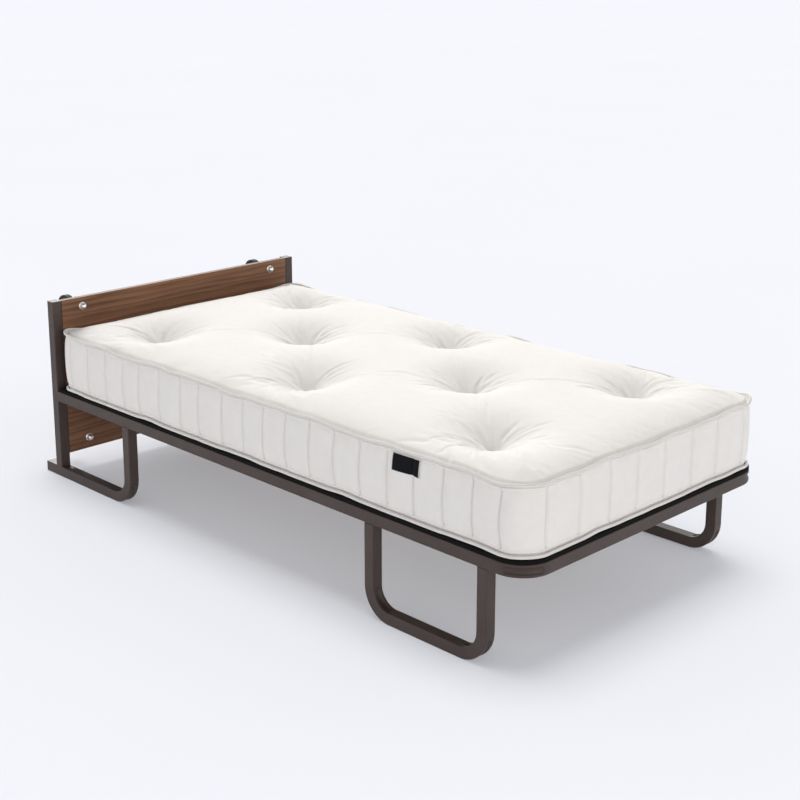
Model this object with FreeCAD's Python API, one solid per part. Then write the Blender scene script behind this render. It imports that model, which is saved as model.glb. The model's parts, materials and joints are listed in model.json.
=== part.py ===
import FreeCAD
import Part
import math
import os

# Rollaway bed: a single bed on a bent square-tube frame. It has a veneered
# headboard panel with four swivel castors on its back, so that the whole bed
# tips up onto its head end and rolls away standing upright.
#
# Frame: +X runs toward the foot, +Y to the left, +Z up. The origin is on the
# floor, under the centre of the whole bed's box. Millimetres.

# Driving dimensions
BED_LENGTH = 1950.0        # posts' rear faces to the foot rail's outer face
BED_WIDTH = 972.0          # over the outsides of the two side rails
POST_TOP = 569.0           # top of the headboard posts
RAIL_TOP = 282.0           # top of the side rails
TUBE = 32.0                # outside of the square tube
WALL = 1.5                 # tube wall
TUBE_EDGE = 2.5            # rounding of the tube's long edges
BEND = 85.0                # outer radius of every tube bend
GROOVE_WIDTH = 18.0        # hollow that the bending die presses into a bend's two walls
GROOVE_DEPTH = 4.5
GROOVE_HALF_ANGLE = 29.0   # degrees from a bend's middle to where its hollow's round ends start
STUB_LENGTH = 55.0         # how far the sled tubes reach behind the posts
HEAD_LEG_SPAN = 410.0      # posts' rear faces to the head legs' front faces
FOOT_LEG_REAR = 1426.0     # posts' rear faces to the foot legs' rear uprights
FOOT_LEG_FRONT = 1836.0    # posts' rear faces to the foot legs' front faces
CAP = 3.0                  # thickness of a plastic tube cap's plate
CAP_PLUG = 14.0            # depth of its plug

PANEL_THICK = 18.0
PANEL_BOTTOM = 72.5
PANEL_PLAY = 0.5           # gap from the panel's ends to the posts
BAR_THICK = 8.0            # flat bars that carry the castors
BAR_HEIGHT = 50.0

NUT_FLANGE_R = 12.5        # domed nuts on the castors' stems
NUT_FLANGE = 2.5
NUT_HEX_R = 11.0           # over the corners
NUT_SKIRT = 6.0
NUT_DOME_R = 9.5
NUT_BORE_DEPTH = 13.0

CASTOR_INSET = 105.0       # castor stems in from the bed's outer sides
CASTOR_TOP_Z = 541.0
CASTOR_LOW_Z = 109.0
CASTOR_REACH = 62.5        # bar's rear face to the wheel's axle
TRAIL = 17.5               # swivel axis to the wheel's axle
STEM_R = 6.0
STEM_HOLE_R = 6.2
STEM_LENGTH = 38.0
PLATE_R = 24.0             # castor's mounting plate
PLATE_THICK = 3.0
RACE_R = 21.0              # raceway under the plate
RACE_DEPTH = 10.0          # plate's front face to the raceway's rear
KINGPIN_R = 5.0
KINGPIN_HEAD_R = 9.0
KINGPIN_HEAD = 3.0
CROWN_R = 23.0             # fork's crown
CROWN_THICK = 4.0
CROWN_GAP = 0.5            # raceway to the crown, taken up by the balls
FORK_GAP = 14.0            # half the space between the fork's legs
FORK_PLATE = 3.0
FORK_TOP = 14.0            # stem's axis to the fork's edges, away from the axle and toward it
FORK_FOOT = 18.0
EYE_R = 11.0               # fork's round end about the axle
WHEEL_R = 37.5
WHEEL_WIDTH = 24.0
TYRE_SHOULDER = 5.0
HUB_R = 27.0
HUB_RIM = 4.0              # thickness of the hub's rim, web and boss
HUB_WEB = 4.0
HUB_BOSS_R = 9.0
HUB_BOSS_HALF = 13.5
AXLE_R = 4.0
AXLE_HEAD_R = 6.5
AXLE_HEAD = 4.0
AXLE_NUT_R = 7.5           # over the corners
AXLE_NUT = 5.0
AXLE_TIP = 1.0             # axle's end past its nut
RUNNING = 0.05             # radial clearance of a turning fit

SLAT_COUNT = 14
SLAT_WIDTH = 65.0
SLAT_THICK = 8.0
SLAT_FIRST = 100.0         # posts' rear faces to the first slat's middle
SLAT_LAST = 1826.0
SLAT_INSET = 6.0           # slat ends in from the rails' outer faces
SCREW_R = 2.0
SCREW_HEAD_R = 4.0
SCREW_LENGTH = 14.0

COVER_THICK = 2.0          # black felt stretched over the slats
COVER_INSET = 1.5
COVER_CORNER = 10.0        # its two corners at the head
COVER_HEAD = 36.0          # posts' rear faces to the cover's head edge

MATTRESS_HEAD = 40.0       # posts' rear faces to the mattress's head end
MATTRESS_FOOT = 1947.0
MATTRESS_INSET = 3.0
MATTRESS_HEIGHT = 204.0
MATTRESS_CORNERS = {"head": 55.0, "foot": 82.0}
MATTRESS_EDGE = 14.0
LABEL_NEAR = 1520.0        # posts' rear faces to the blank label
LABEL_SIZE = (92.0, 1.0, 46.0)
LABEL_LOW = 119.0          # deck to the label's lower edge

STRAP_AT = 1380.0          # posts' rear faces to the strap's middle
STRAP_WIDTH = 25.0
STRAP_THICK = 1.5
STRAP_Z = 272.0            # middle of the stowed strap and its buckle
STRAP_TAB = 20.0           # strap end turned down against the rail
STRAP_DOUBLED = 45.0       # sewn-back length behind the buckle
BUCKLE_HALF = 28.0         # bed's middle to the buckle's ends
BUCKLE_HALF_WIDTH = 17.0
BUCKLE_HALF_THICK = 5.0
BUCKLE_ROUND = 2.5
BUCKLE_BAR = 4.0           # bar that a strap loops round, square
BUCKLE_SLOT = 6.0          # slot that the strap passes through
BUCKLE_SLOT_HALF = 14.0
SOCKET_MOUTH = 2.0         # bed's middle to the socket's mouth
SOCKET_DEPTH = 16.0
SOCKET_HALF_THICK = 3.0
WINDOW_HALF = 8.0          # open window through the socket's middle
WINDOW_DEPTH = 10.0
TONGUE_BASE = 10.0         # bed's middle to the tongue's base
ARM_AT = 11.0              # buckle's middle to a tongue arm's middle
ARM_HALF = 2.5
ARM_TIP = 10.0
CATCH_AT = 6.5             # rounded catch and finger pad on each arm
CATCH_R = 4.0
GUIDE_HALF = 1.5
BOLT_HEAD_R = 6.5          # dome-headed strap bolts
BOLT_HEAD = 4.0
BOLT_R = 3.0
BOLT_LENGTH = 12.0

# Worked out from the driving dimensions
PANEL_REAR = TUBE - PANEL_THICK
BAR_REAR = PANEL_REAR - BAR_THICK
REAR_REACH = CASTOR_REACH + WHEEL_R - BAR_REAR
POST_REAR = (REAR_REACH - BED_LENGTH) / 2
HALF_WIDTH = BED_WIDTH / 2
HALF_TUBE = TUBE / 2
RAIL_BOTTOM = RAIL_TOP - TUBE
RAIL_MIDDLE = RAIL_TOP - HALF_TUBE
SIDE_Y = HALF_WIDTH - HALF_TUBE
INNER_Y = HALF_WIDTH - TUBE
BEND_MIDDLE = BEND - HALF_TUBE
GROOVE_R = (GROOVE_WIDTH ** 2 / 4 + GROOVE_DEPTH ** 2) / (2 * GROOVE_DEPTH)
DECK_TOP = RAIL_TOP + SLAT_THICK + COVER_THICK
STEM_Y = HALF_WIDTH - CASTOR_INSET
CROWN_FRONT = RACE_DEPTH + CROWN_GAP
SIDES = {"left": 1, "right": -1}


def at(distance):
    """X of a point that lies this far from the posts' rear faces, toward the foot."""
    return POST_REAR + distance


def vec(x, y, z):
    return FreeCAD.Vector(x, y, z)


def box(low, high):
    """A box from its lowest corner to its highest."""
    size = [b - a for a, b in zip(low, high)]
    return Part.makeBox(size[0], size[1], size[2], vec(*low))


def cylinder(radius, start, direction, length):
    return Part.makeCylinder(radius, length, vec(*start), vec(*direction))


def turned(profile, origin, axis_tip):
    """A solid of revolution: (distance along the axis, radius) points about an axis."""
    along = (vec(*axis_tip) - vec(*origin)).normalize()
    out = vec(along.y, along.z, along.x)
    corners = [vec(*origin) + along * s + out * r for s, r in profile]
    face = Part.Face(Part.makePolygon(corners + corners[:1]))
    return face.revolve(vec(*origin), along, 360)


def rounded_rectangle(low, high, radii, z):
    """A flat face with a corner radius at each corner, from the low corner anticlockwise."""
    (x0, y0), (x1, y1) = low, high
    corners = [(x0, y0, 1, 1), (x1, y0, -1, 1), (x1, y1, -1, -1), (x0, y1, 1, -1)]
    ends = []
    for index, ((x, y, sx, sy), r) in enumerate(zip(corners, radii)):
        on_x = vec(x + sx * r, y, z)
        on_y = vec(x, y + sy * r, z)
        middle = vec(x + sx * r * (1 - math.sqrt(0.5)), y + sy * r * (1 - math.sqrt(0.5)), z)
        ends.append((on_y, middle, on_x) if index % 2 == 0 else (on_x, middle, on_y))
    edges = []
    for index, (first, middle, last) in enumerate(ends):
        edges.append(Part.Arc(first, middle, last).toShape())
        edges.append(Part.LineSegment(last, ends[(index + 1) % 4][0]).toShape())
    return Part.Face(Part.Wire(edges))


def square_face(centre, along, size, edge):
    """A square with rounded corners, square to a direction that lies on one axis."""
    half = size / 2
    face = rounded_rectangle((-half, -half), (half, half), [edge] * 4, 0)
    turn = FreeCAD.Rotation(vec(0, 0, 1), along)
    face.Placement = FreeCAD.Placement(centre, turn)
    return face


def pressed_middle(size, edge, grow):
    """The grooved stretch of a solid square bend about +Z, centred on 45 degrees."""
    face = square_face(vec(BEND_MIDDLE, 0, 0), vec(0, 1, 0), size, edge)
    for centre in groove_centres():
        ring = Part.makeCircle(GROOVE_R + grow, vec(centre, 0, 0), vec(0, 1, 0))
        face = face.cut(Part.Face(Part.Wire(ring)))
    face.rotate(vec(0, 0, 0), vec(0, 0, 1), 45 - GROOVE_HALF_ANGLE)
    return face.revolve(vec(0, 0, 0), vec(0, 0, 1), 2 * GROOVE_HALF_ANGLE)


def groove_centres():
    """Distances from the bend's axis to the middles of the arcs pressed into its two walls."""
    sunk = GROOVE_R - GROOVE_DEPTH
    return [BEND + sunk, BEND - TUBE - sunk]


def plain_end(size, edge, grow, start, groove_at):
    """A bend's stretch beside the pressed one, hollowed only by the round ends of the grooves."""
    face = square_face(vec(BEND_MIDDLE, 0, 0), vec(0, 1, 0), size, edge)
    face.rotate(vec(0, 0, 0), vec(0, 0, 1), start)
    solid = face.revolve(vec(0, 0, 0), vec(0, 0, 1), 45 - GROOVE_HALF_ANGLE)
    turn = math.radians(groove_at)
    for centre in groove_centres():
        place = vec(centre * math.cos(turn), centre * math.sin(turn), 0)
        solid = solid.cut(Part.makeSphere(GROOVE_R + grow, place))
    return solid


def bend_solid(size, edge, grow):
    """A solid square bend about +Z, from +X round to +Y, with a long hollow in each curved wall."""
    first, last = 45 - GROOVE_HALF_ANGLE, 45 + GROOVE_HALF_ANGLE
    ends = [plain_end(size, edge, grow, 0, first), plain_end(size, edge, grow, last, last)]
    return pressed_middle(size, edge, grow).multiFuse(ends).removeSplitter()


def tube_bend():
    """One hollow bend, its walls pressed in by the bending die."""
    outer = bend_solid(TUBE, TUBE_EDGE, 0.0)
    inner = bend_solid(TUBE - 2 * WALL, TUBE_EDGE - WALL, WALL)
    return outer.cut(inner)


def tube_run(start, end):
    """A straight hollow run of tube."""
    along = (end - start).normalize()
    outer = square_face(start, along, TUBE, TUBE_EDGE).extrude(end - start)
    inner = square_face(start, along, TUBE - 2 * WALL, TUBE_EDGE - WALL).extrude(end - start)
    return outer.cut(inner)


def tube_stretches(points):
    """The runs and bends, face to face, of a square tube that turns along the axes' directions."""
    pieces = []
    start = points[0]
    for corner, after in zip(points[1:-1], points[2:]):
        into = (corner - start).normalize()
        out = (after - corner).normalize()
        bend_start = corner - into * BEND_MIDDLE
        pieces.append(tube_run(start, bend_start))
        bend = tube_bend()
        turn = FreeCAD.Rotation(out * -1, into, into.cross(out), "XYZ")
        bend.Placement = FreeCAD.Placement(bend_start + out * BEND_MIDDLE, turn)
        pieces.append(bend)
        start = corner + out * BEND_MIDDLE
    pieces.append(tube_run(start, points[-1]))
    return pieces


def tube_along(points):
    """A hollow square tube through points on the axes' directions, bent round at each corner."""
    pieces = tube_stretches(points)
    if len(pieces) == 1:
        return pieces[0]
    return pieces[0].multiFuse(pieces[1:]).removeSplitter()


def hexagon(centre, across, out, thick):
    """A six-sided prism on a centre: across reaches its first corner, out is its direction."""
    turn = FreeCAD.Rotation(out, 60)
    corners = [across]
    for _ in range(6):
        corners.append(turn.multVec(corners[-1]))
    ring = Part.makePolygon([centre + corner for corner in corners])
    return Part.Face(ring).extrude(out * thick)


def cut_all(shape, cutters):
    for cutter in cutters:
        shape = shape.cut(cutter)
    return shape


def slat_middles():
    pitch = (SLAT_LAST - SLAT_FIRST) / (SLAT_COUNT - 1)
    return [at(SLAT_FIRST + pitch * index) for index in range(SLAT_COUNT)]


def slat_screw(x, side):
    """A countersunk screw down through a slat's end into the side rail."""
    top = RAIL_TOP + SLAT_THICK
    cone = SCREW_HEAD_R - SCREW_R
    profile = [(0, 0), (0, SCREW_HEAD_R), (cone, SCREW_R), (SCREW_LENGTH, SCREW_R), (SCREW_LENGTH, 0)]
    return turned(profile, (x, side * SIDE_Y, top), (x, side * SIDE_Y, top - SCREW_LENGTH))


def all_slat_screws():
    return [slat_screw(x, side) for x in slat_middles() for side in SIDES.values()]


def strap_bolt(side):
    """A dome-headed bolt that clamps a strap's end to the side rail's inner wall."""
    face = side * (INNER_Y - STRAP_THICK)
    profile = [
        (-BOLT_HEAD, 0), (-BOLT_HEAD, BOLT_HEAD_R - 3), (-BOLT_HEAD + 1, BOLT_HEAD_R - 1),
        (0, BOLT_HEAD_R), (0, BOLT_R), (BOLT_LENGTH, BOLT_R), (BOLT_LENGTH, 0),
    ]
    centre = (at(STRAP_AT), face, STRAP_Z - STRAP_TAB / 2)
    return turned(profile, centre, (centre[0], face + side, centre[2]))


def main_rail():
    """Both side rails and the foot rail: a tube bent to a U, as its runs and bends end to end."""
    head = at(TUBE)
    foot = at(BED_LENGTH - HALF_TUBE)
    path = [
        vec(head, -SIDE_Y, RAIL_MIDDLE),
        vec(foot, -SIDE_Y, RAIL_MIDDLE),
        vec(foot, SIDE_Y, RAIL_MIDDLE),
        vec(head, SIDE_Y, RAIL_MIDDLE),
    ]
    drilled = all_slat_screws() + [strap_bolt(side) for side in SIDES.values()]
    return Part.makeCompound([cut_all(piece, drilled) for piece in tube_stretches(path)])


def head_post(side):
    """A headboard post, standing on the sled tube."""
    x = at(HALF_TUBE)
    return tube_along([vec(x, side * SIDE_Y, TUBE), vec(x, side * SIDE_Y, POST_TOP - CAP)])


def head_leg(side):
    """A sled tube: along the floor under the post, then bent up to the side rail."""
    front = at(HEAD_LEG_SPAN - HALF_TUBE)
    return tube_along([
        vec(at(CAP - STUB_LENGTH), side * SIDE_Y, HALF_TUBE),
        vec(front, side * SIDE_Y, HALF_TUBE),
        vec(front, side * SIDE_Y, RAIL_BOTTOM),
    ])


def foot_leg(side):
    """A foot leg: one tube bent to a U under the side rail."""
    rear = at(FOOT_LEG_REAR + HALF_TUBE)
    front = at(FOOT_LEG_FRONT - HALF_TUBE)
    return tube_along([
        vec(rear, side * SIDE_Y, RAIL_BOTTOM),
        vec(rear, side * SIDE_Y, HALF_TUBE),
        vec(front, side * SIDE_Y, HALF_TUBE),
        vec(front, side * SIDE_Y, RAIL_BOTTOM),
    ])


def cross_rail(distance):
    """A straight tube between the side rails, with its rear face this far from the posts'."""
    x = at(distance + HALF_TUBE)
    return tube_along([vec(x, -INNER_Y, RAIL_MIDDLE), vec(x, INNER_Y, RAIL_MIDDLE)])


def tube_cap(tip, outward):
    """A plastic cap for an open tube end: a plate over the end and a plug inside it."""
    plate = square_face(tip - outward * CAP, outward, TUBE, TUBE_EDGE).extrude(outward * CAP)
    plug_size = TUBE - 2 * WALL - 0.2
    plug = square_face(tip - outward * CAP, outward, plug_size, 1.0).extrude(outward * -CAP_PLUG)
    hollow = square_face(tip - outward * (CAP + 2), outward, plug_size - 4, 1.0)
    return plate.fuse(plug).cut(hollow.extrude(outward * -CAP_PLUG))


def tube_caps():
    caps = []
    for side in SIDES.values():
        caps.append(tube_cap(vec(at(HALF_TUBE), side * SIDE_Y, POST_TOP), vec(0, 0, 1)))
        caps.append(tube_cap(vec(at(-STUB_LENGTH), side * SIDE_Y, HALF_TUBE), vec(-1, 0, 0)))
    return Part.makeCompound(caps)


def stem_places():
    """Name, Y and Z of each castor's stem."""
    heights = {"upper": CASTOR_TOP_Z, "lower": CASTOR_LOW_Z}
    return [
        (f"{level}_{name}", side * STEM_Y, z)
        for level, z in heights.items()
        for name, side in SIDES.items()
    ]


def stem_holes():
    start = at(BAR_REAR - 1)
    length = TUBE - BAR_REAR + 2
    return [cylinder(STEM_HOLE_R, (start, y, z), (1, 0, 0), length) for _, y, z in stem_places()]


def headboard_panel():
    """The veneered board between the posts, flush with their front faces."""
    end = INNER_Y - PANEL_PLAY
    board = box((at(PANEL_REAR), -end, PANEL_BOTTOM), (at(TUBE), end, POST_TOP))
    return cut_all(board, stem_holes())


def back_bar(z):
    """A flat bar between the posts, behind the panel, that two castors bolt to."""
    half = BAR_HEIGHT / 2
    bar = box((at(BAR_REAR), -INNER_Y, z - half), (at(PANEL_REAR), INNER_Y, z + half))
    return cut_all(bar, stem_holes())


def cap_nuts():
    """Bright domed nuts with flanges, one on the end of each castor's stem."""
    nuts = []
    flange = [
        (0, STEM_R), (0, NUT_FLANGE_R), (NUT_FLANGE - 1, NUT_FLANGE_R),
        (NUT_FLANGE, NUT_FLANGE_R - 1), (NUT_FLANGE, STEM_R),
    ]
    dome_at = at(TUBE) + NUT_FLANGE + NUT_SKIRT - 0.5
    for _, y, z in stem_places():
        start = (at(TUBE), y, z)
        skirt = hexagon(vec(at(TUBE) + NUT_FLANGE, y, z), vec(0, NUT_HEX_R, 0), vec(1, 0, 0), NUT_SKIRT)
        low = (dome_at, y - NUT_DOME_R, z - NUT_DOME_R)
        front = box(low, (dome_at + NUT_DOME_R, y + NUT_DOME_R, z + NUT_DOME_R))
        dome = Part.makeSphere(NUT_DOME_R, vec(dome_at, y, z)).common(front)
        hollow = cylinder(STEM_R, start, (1, 0, 0), NUT_BORE_DEPTH)
        nut = turned(flange, start, (at(TUBE) + 1, y, z))
        nuts.append(nut.fuse([skirt.cut(hollow), dome.cut(hollow)]).removeSplitter())
    return Part.makeCompound(nuts)


def castor_base(y, z):
    """Mounting plate, raceway, kingpin and threaded stem of a castor, about its swivel axis."""
    head_at = CROWN_FRONT + CROWN_THICK + CROWN_GAP
    profile = [
        (-STEM_LENGTH, 0), (-STEM_LENGTH, STEM_R), (0, STEM_R), (0, PLATE_R), (PLATE_THICK, PLATE_R),
        (PLATE_THICK, RACE_R), (RACE_DEPTH, RACE_R), (RACE_DEPTH, KINGPIN_R), (head_at, KINGPIN_R),
        (head_at, KINGPIN_HEAD_R), (head_at + KINGPIN_HEAD, KINGPIN_HEAD_R), (head_at + KINGPIN_HEAD, 0),
    ]
    return turned(profile, (at(BAR_REAR), y, z), (at(BAR_REAR) - 1, y, z))


def wheel_centre(y, z):
    """Where a castor's axle crosses the wheel's middle, from its stem's place."""
    return vec(at(BAR_REAR) - CASTOR_REACH, y, z - TRAIL)


def fork_leg(y, z, side):
    """One raked leg of a fork, from the crown to the round eye about the axle."""
    front = at(BAR_REAR) - CROWN_FRONT
    axle = wheel_centre(y, z)
    face = y + side * FORK_GAP
    outline = [
        (front, z + FORK_TOP), (front, z - FORK_FOOT), (axle.x, axle.z - EYE_R),
        (axle.x - FORK_PLATE, axle.z), (axle.x + FORK_PLATE, axle.z + EYE_R - 0.5),
    ]
    corners = [vec(px, face, pz) for px, pz in outline]
    leg = Part.Face(Part.makePolygon(corners + corners[:1])).extrude(vec(0, side * FORK_PLATE, 0))
    return leg.fuse(cylinder(EYE_R, (axle.x, face, axle.z), (0, side, 0), FORK_PLATE))


def castor_fork(y, z):
    """Swivel fork: a crown round the kingpin and two legs raked down to the axle."""
    front = at(BAR_REAR) - CROWN_FRONT
    reach = FORK_GAP + FORK_PLATE
    bridge = box((front - CROWN_THICK, y - reach, z - FORK_FOOT), (front, y + reach, z + FORK_TOP))
    fork = cylinder(CROWN_R, (front, y, z), (-1, 0, 0), CROWN_THICK)
    fork = fork.fuse([bridge] + [fork_leg(y, z, side) for side in SIDES.values()])
    axle = wheel_centre(y, z)
    axle_hole = cylinder(AXLE_R, (axle.x, y - 2 * reach, axle.z), (0, 1, 0), 4 * reach)
    kingpin_hole = cylinder(KINGPIN_R + RUNNING, (at(BAR_REAR), y, z), (-1, 0, 0), 2 * CROWN_FRONT)
    return cut_all(fork, [axle_hole, kingpin_hole]).removeSplitter()


def castor_axle(y, z):
    """Axle bolt across the fork, with a low round head and a nut."""
    axle = wheel_centre(y, z)
    face = FORK_GAP + FORK_PLATE
    tip = face + AXLE_NUT + AXLE_TIP
    profile = [
        (-face - AXLE_HEAD, 0), (-face - AXLE_HEAD, AXLE_HEAD_R - 1), (-face - AXLE_HEAD + 1, AXLE_HEAD_R),
        (-face, AXLE_HEAD_R), (-face, AXLE_R), (tip, AXLE_R), (tip, 0),
    ]
    bolt = turned(profile, (axle.x, axle.y, axle.z), (axle.x, axle.y + 1, axle.z))
    nut = hexagon(axle + vec(0, face, 0), vec(AXLE_NUT_R, 0, 0), vec(0, 1, 0), AXLE_NUT)
    nut = nut.cut(cylinder(AXLE_R, (axle.x, axle.y + face - 1, axle.z), (0, 1, 0), AXLE_NUT + 2))
    return Part.makeCompound([bolt, nut])


def castor_hub(y, z):
    """Moulded wheel centre, turning freely on the axle: boss, web and rim, dished on both faces."""
    bore = AXLE_R + RUNNING
    edge = WHEEL_WIDTH / 2 - 1.5
    rim = HUB_R - HUB_RIM
    half = [
        (HUB_BOSS_HALF, bore), (HUB_BOSS_HALF, HUB_BOSS_R - 1), (edge, HUB_BOSS_R),
        (HUB_WEB + 1, HUB_BOSS_R + 1), (HUB_WEB, rim - 2), (edge, rim), (edge, HUB_R),
    ]
    profile = [(-along, radius) for along, radius in half] + half[::-1]
    axle = wheel_centre(y, z)
    return turned(profile, (axle.x, axle.y, axle.z), (axle.x, axle.y + 1, axle.z))


def castor_tyre(y, z):
    """Rubber tread round the hub, with rounded shoulders."""
    half = WHEEL_WIDTH / 2
    radii = [1.0, TYRE_SHOULDER, TYRE_SHOULDER, 1.0]
    face = rounded_rectangle((HUB_R, -half), (WHEEL_R, half), radii, 0)
    axle = wheel_centre(y, z)
    face.Placement = FreeCAD.Placement(axle, FreeCAD.Rotation())
    return face.revolve(axle, vec(0, 1, 0), 360)


def slat(x):
    """A sprung ply slat across the two side rails, drilled for its screws."""
    half_length = HALF_WIDTH - SLAT_INSET
    low = (x - SLAT_WIDTH / 2, -half_length, RAIL_TOP)
    high = (x + SLAT_WIDTH / 2, half_length, RAIL_TOP + SLAT_THICK)
    return cut_all(box(low, high), [slat_screw(x, side) for side in SIDES.values()])


def deck_outline(inset, corner, z):
    """Plan of the deck, square at the head and round at the foot."""
    low = (at(COVER_HEAD + inset), -HALF_WIDTH + COVER_INSET + inset)
    high = (at(BED_LENGTH - COVER_INSET - inset), HALF_WIDTH - COVER_INSET - inset)
    head = COVER_CORNER - inset
    return rounded_rectangle(low, high, [head, corner, corner, head], z)


def deck_cover():
    """Felt cover over the slats, turned down round the deck's edge onto the rails."""
    corner = BEND - COVER_INSET
    whole = deck_outline(0, corner, RAIL_TOP).extrude(vec(0, 0, SLAT_THICK + COVER_THICK))
    inside = deck_outline(COVER_THICK, corner - COVER_THICK, RAIL_TOP)
    return whole.cut(inside.extrude(vec(0, 0, SLAT_THICK)))


def mattress():
    """The mattress's space: a plain slab with round corners and soft edges."""
    low = (at(MATTRESS_HEAD), -HALF_WIDTH + MATTRESS_INSET)
    high = (at(MATTRESS_FOOT), HALF_WIDTH - MATTRESS_INSET)
    head, foot = MATTRESS_CORNERS["head"], MATTRESS_CORNERS["foot"]
    plan = rounded_rectangle(low, high, [head, foot, foot, head], DECK_TOP)
    slab = plan.extrude(vec(0, 0, MATTRESS_HEIGHT))
    level = (DECK_TOP, DECK_TOP + MATTRESS_HEIGHT)
    rims = [
        edge for edge in slab.Edges
        if edge.BoundBox.ZLength < 0.001 and edge.BoundBox.ZMin in level
    ]
    return slab.makeFillet(MATTRESS_EDGE, rims)


def mattress_label():
    """A blank woven label sewn to the right side of the mattress."""
    side = -HALF_WIDTH + MATTRESS_INSET
    low = (at(LABEL_NEAR), side - LABEL_SIZE[1], DECK_TOP + LABEL_LOW)
    return box(low, [a + b for a, b in zip(low, LABEL_SIZE)])


def strap(side):
    """Half the strap, stowed across the frame: bolted to a rail, looped round the buckle's bar."""
    t = STRAP_THICK
    bar_in, bar_out = BUCKLE_HALF - BUCKLE_BAR, BUCKLE_HALF
    rail, z = INNER_Y, STRAP_Z
    outline = [
        (rail, z), (rail, z - STRAP_TAB), (rail - t, z - STRAP_TAB), (rail - t, z - t),
        (bar_out + STRAP_DOUBLED, z - t), (bar_out + STRAP_DOUBLED, z - 2 * t),
        (bar_out + 6, z - 2 * t), (bar_out, z - 2 - t), (bar_in - t, z - 2 - t),
        (bar_in - t, z + 2 + t), (bar_out, z + 2 + t), (bar_out + 6, z),
    ]
    ring = [vec(at(STRAP_AT) - STRAP_WIDTH / 2, side * y, level) for y, level in outline]
    band = Part.Face(Part.makePolygon(ring + ring[:1])).extrude(vec(STRAP_WIDTH, 0, 0))
    reach = STRAP_WIDTH / 2 + 1
    low = (at(STRAP_AT) - reach, min(side * bar_in, side * bar_out), z - 2)
    high = (at(STRAP_AT) + reach, max(side * bar_in, side * bar_out), z + 2)
    return cut_all(band, [box(low, high), strap_bolt(side)])


def buckle_block(x_half, y_range, z_half):
    x = at(STRAP_AT)
    return box((x - x_half, y_range[0], STRAP_Z - z_half), (x + x_half, y_range[1], STRAP_Z + z_half))


def buckle_end(inner, half_width, side):
    """A block from inner to one end of the buckle, with the strap's slot and a thinned bar beyond it."""
    bar = BUCKLE_HALF - BUCKLE_BAR
    slot = sorted([side * (bar - BUCKLE_SLOT), side * bar])
    beyond = sorted([side * bar, side * (BUCKLE_HALF + 1)])
    thinned = buckle_block(BUCKLE_SLOT_HALF, beyond, BUCKLE_HALF_THICK + 1)
    thinned = thinned.cut(buckle_block(BUCKLE_SLOT_HALF, beyond, BUCKLE_BAR / 2))
    block = buckle_block(half_width, sorted([inner, side * BUCKLE_HALF]), BUCKLE_HALF_THICK)
    upright = [edge for edge in block.Edges if edge.BoundBox.ZLength > 2 * BUCKLE_HALF_THICK - 1]
    block = block.makeFillet(BUCKLE_ROUND, upright)
    return cut_all(block, [buckle_block(BUCKLE_SLOT_HALF, slot, BUCKLE_HALF_THICK + 1), thinned])


def buckle_body():
    """Socket half of the side-release buckle, with a bar for the right-hand strap."""
    body = buckle_end(SOCKET_MOUTH, BUCKLE_HALF_WIDTH, -1)
    past = SOCKET_MOUTH + 1
    socket = buckle_block(BUCKLE_SLOT_HALF, (SOCKET_MOUTH - SOCKET_DEPTH, past), SOCKET_HALF_THICK)
    window = buckle_block(WINDOW_HALF, (SOCKET_MOUTH - WINDOW_DEPTH, past), BUCKLE_HALF_THICK + 1)
    return cut_all(body, [socket, window])


def buckle_tongue():
    """Plug half of the buckle: two springy arms, a guide and a bar for the left-hand strap."""
    base = buckle_end(TONGUE_BASE, BUCKLE_HALF_WIDTH - 1, 1)
    pieces = [buckle_block(GUIDE_HALF, (-ARM_TIP, TONGUE_BASE), ARM_HALF)]
    low = STRAP_Z - ARM_HALF
    for side in (1, -1):
        middle = at(STRAP_AT) + side * ARM_AT
        outer = middle + side * ARM_HALF
        arm = box((middle - ARM_HALF, -ARM_TIP, low), (middle + ARM_HALF, TONGUE_BASE, low + 2 * ARM_HALF))
        pieces.append(arm)
        pieces.append(cylinder(CATCH_R, (outer, CATCH_AT, low), (0, 0, 1), 2 * ARM_HALF))
    return base.multiFuse(pieces).removeSplitter()


def strap_bolts():
    return Part.makeCompound([strap_bolt(side) for side in SIDES.values()])


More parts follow.
